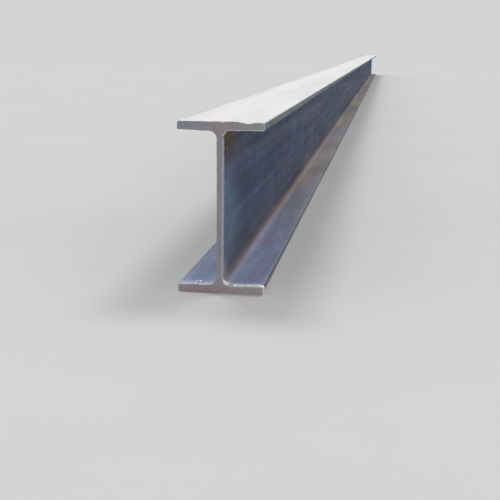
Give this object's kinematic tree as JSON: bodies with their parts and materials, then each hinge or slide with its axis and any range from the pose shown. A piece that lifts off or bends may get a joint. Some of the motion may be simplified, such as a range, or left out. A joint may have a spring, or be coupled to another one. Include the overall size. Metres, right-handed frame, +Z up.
{
  "type": "steel h-beam",
  "caption": "Straight hot-rolled steel H-beam with parallel flanges, an upright web, rounded roots and square-sawn ends, used as a column, joist or frame member.",
  "frame": {"origin": "on the floor under the middle of the beam's length, at the centre of the bottom flange's lower face", "axes": "+Y along the beam, away from the end that the picture shows; +X across the flanges, to the right when looking along +Y; +Z up the web"},
  "size_m": [0.075, 6, 0.15],
  "materials": {
    "hot_rolled_steel": "blue-grey mill scale as rolled, dusted pale on the upper flange face, with a thin tan and brown rust film along the roots and toes, and dull grey-brown sawn ends"
  },
  "bodies": {
    "root": {"h_beam": "hot_rolled_steel"}
  },
  "joints": []
}
